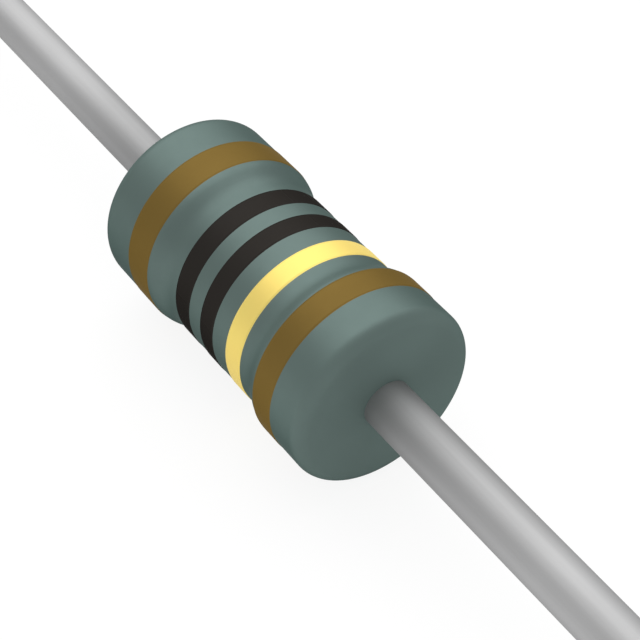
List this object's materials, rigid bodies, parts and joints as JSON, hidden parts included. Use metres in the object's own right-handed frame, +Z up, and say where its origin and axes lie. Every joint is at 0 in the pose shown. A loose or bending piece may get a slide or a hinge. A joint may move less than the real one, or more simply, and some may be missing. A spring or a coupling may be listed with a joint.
{
  "type": "axial resistor",
  "caption": "Small axial resistor: a dumbbell-shaped lacquered body with painted colour-code rings and a straight tinned wire lead out of each end, for soldering.",
  "frame": {"origin": "middle of the lacquered body, on the axis of the leads", "axes": "+X along the leads, out of the tolerance band's end; +Z up and +Y across, alike because the part is round about X"},
  "size_m": [0.026, 0.002, 0.002],
  "materials": {
    "lacquer": "satin grey-green lacquer",
    "alumina": "matt fired ceramic",
    "metal_film": "dull sputtered metal",
    "cap_steel": "pressed and tin plated",
    "tinned_wire": "satin tin plate on drawn copper wire",
    "brown_paint": "satin brown marking paint",
    "black_paint": "satin black marking paint",
    "gold_paint": "metallic gold marking paint"
  },
  "bodies": {
    "root": {"coating": "lacquer", "ceramic_core": "alumina", "resistive_film": "metal_film", "end_cap_left": "cap_steel", "end_cap_right": "cap_steel", "lead_left": "tinned_wire", "lead_right": "tinned_wire", "first_digit_band": "brown_paint", "second_digit_band": "black_paint", "third_digit_band": "black_paint", "multiplier_band": "gold_paint", "tolerance_band": "brown_paint"}
  },
  "joints": []
}
